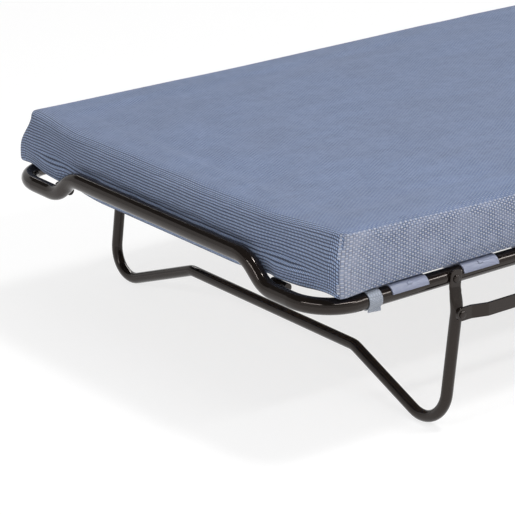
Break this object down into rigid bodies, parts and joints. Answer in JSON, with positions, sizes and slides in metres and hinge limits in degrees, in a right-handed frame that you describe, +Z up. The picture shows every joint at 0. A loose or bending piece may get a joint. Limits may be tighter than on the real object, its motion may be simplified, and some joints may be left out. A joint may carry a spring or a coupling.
{
  "type": "folding guest bed",
  "caption": "Low folding bed: bent tube frame in two halves hinged to a castor section, linked end legs that fold by themselves, sprung slats and a foam mattress.",
  "frame": {"origin": "on the floor under the middle of the bed", "axes": "+Y along the bed from the head half to the foot half, +Z up, +X to the side that faces the viewer's right"},
  "size_m": [0.8646, 1.9, 0.334],
  "materials": {
    "frame_paint": "gloss",
    "zinc_steel": "satin",
    "holder_plastic": "matte",
    "strap_fabric": "woven",
    "slat_wood": "satin",
    "mattress_cover": "woven",
    "wheel_plastic": "matte"
  },
  "bodies": {
    "centre": {"centre_rail_right": "frame_paint", "centre_rail_left": "frame_paint", "side_plate_right": "frame_paint", "side_plate_left": "frame_paint", "hinge_bolts": "zinc_steel", "link_pins": "zinc_steel", "castor_legs": "frame_paint", "cross_bar_head": "frame_paint", "cross_bar_foot": "frame_paint", "centre_slat_holders": "holder_plastic", "centre_slat_1": "slat_wood", "centre_slat_2": "slat_wood", "mattress_middle": "mattress_cover"},
    "head_half": {"head_frame_tube": "frame_paint", "head_lugs": "frame_paint", "head_leg_studs": "frame_paint", "head_slat_holders": "holder_plastic", "head_straps": "strap_fabric", "head_mattress": "mattress_cover", "head_slat_1": "slat_wood", "head_slat_2": "slat_wood", "head_slat_3": "slat_wood", "head_slat_4": "slat_wood", "head_slat_5": "slat_wood"},
    "head_leg": {"head_leg": "frame_paint", "head_link_studs": "frame_paint"},
    "head_links": {"head_link_right": "frame_paint", "head_link_left": "frame_paint"},
    "foot_half": {"foot_frame_tube": "frame_paint", "foot_lugs": "frame_paint", "foot_leg_studs": "frame_paint", "foot_slat_holders": "holder_plastic", "foot_straps": "strap_fabric", "foot_mattress": "mattress_cover", "foot_slat_1": "slat_wood", "foot_slat_2": "slat_wood", "foot_slat_3": "slat_wood", "foot_slat_4": "slat_wood", "foot_slat_5": "slat_wood"},
    "foot_leg": {"foot_leg": "frame_paint", "foot_link_studs": "frame_paint"},
    "foot_links": {"foot_link_right": "frame_paint", "foot_link_left": "frame_paint"},
    "castor_1": {"castor_1_fork": "frame_paint"},
    "wheel_1": {"castor_1_wheel": "wheel_plastic"},
    "castor_2": {"castor_2_fork": "frame_paint"},
    "wheel_2": {"castor_2_wheel": "wheel_plastic"},
    "castor_3": {"castor_3_fork": "frame_paint"},
    "wheel_3": {"castor_3_wheel": "wheel_plastic"},
    "castor_4": {"castor_4_fork": "frame_paint"},
    "wheel_4": {"castor_4_wheel": "wheel_plastic"}
  },
  "joints": [
    {"name": "head_fold", "type": "hinge", "parent": "centre", "child": "head_half", "pos_m": [0, -0.15, 0.2285], "axis": [-1, 0, 0], "range_deg": [0, 90], "deforming": ["mattress_middle"]},
    {"name": "head_leg_turn", "type": "hinge", "parent": "head_half", "child": "head_leg", "pos_m": [0, -0.7, 0.2285], "axis": [1, 0, 0], "range_deg": [0, 90]},
    {"name": "head_link_turn", "type": "hinge", "parent": "centre", "child": "head_links", "pos_m": [0, -0.15543, 0.18081], "axis": [-1, 0, 0], "range_deg": [0, 90]},
    {"name": "foot_fold", "type": "hinge", "parent": "centre", "child": "foot_half", "pos_m": [0, 0.15, 0.2285], "axis": [1, 0, 0], "range_deg": [0, 90], "deforming": ["mattress_middle"]},
    {"name": "foot_leg_turn", "type": "hinge", "parent": "foot_half", "child": "foot_leg", "pos_m": [0, 0.7, 0.2285], "axis": [-1, 0, 0], "range_deg": [0, 90]},
    {"name": "foot_link_turn", "type": "hinge", "parent": "centre", "child": "foot_links", "pos_m": [0, 0.15543, 0.18081], "axis": [1, 0, 0], "range_deg": [0, 90]},
    {"name": "castor_1_swivel", "type": "hinge", "parent": "centre", "child": "castor_1", "pos_m": [-0.3878, -0.085, 0.068], "axis": [0, 0, 1], "continuous": true},
    {"name": "castor_1_roll", "type": "hinge", "parent": "castor_1", "child": "wheel_1", "pos_m": [-0.3878, -0.102, 0.025], "axis": [1, 0, 0], "continuous": true},
    {"name": "castor_2_swivel", "type": "hinge", "parent": "centre", "child": "castor_2", "pos_m": [-0.3878, 0.085, 0.068], "axis": [0, 0, 1], "continuous": true},
    {"name": "castor_2_roll", "type": "hinge", "parent": "castor_2", "child": "wheel_2", "pos_m": [-0.3878, 0.068, 0.025], "axis": [1, 0, 0], "continuous": true},
    {"name": "castor_3_swivel", "type": "hinge", "parent": "centre", "child": "castor_3", "pos_m": [0.3878, -0.085, 0.068], "axis": [0, 0, 1], "continuous": true},
    {"name": "castor_3_roll", "type": "hinge", "parent": "castor_3", "child": "wheel_3", "pos_m": [0.3878, -0.102, 0.025], "axis": [1, 0, 0], "continuous": true},
    {"name": "castor_4_swivel", "type": "hinge", "parent": "centre", "child": "castor_4", "pos_m": [0.3878, 0.085, 0.068], "axis": [0, 0, 1], "continuous": true},
    {"name": "castor_4_roll", "type": "hinge", "parent": "castor_4", "child": "wheel_4", "pos_m": [0.3878, 0.068, 0.025], "axis": [1, 0, 0], "continuous": true}
  ],
  "couplings": [
    {"joint": "head_leg_turn", "follows": "head_fold", "ratio": 1},
    {"joint": "head_link_turn", "follows": "head_fold", "ratio": 1},
    {"joint": "foot_leg_turn", "follows": "foot_fold", "ratio": 1},
    {"joint": "foot_link_turn", "follows": "foot_fold", "ratio": 1}
  ]
}
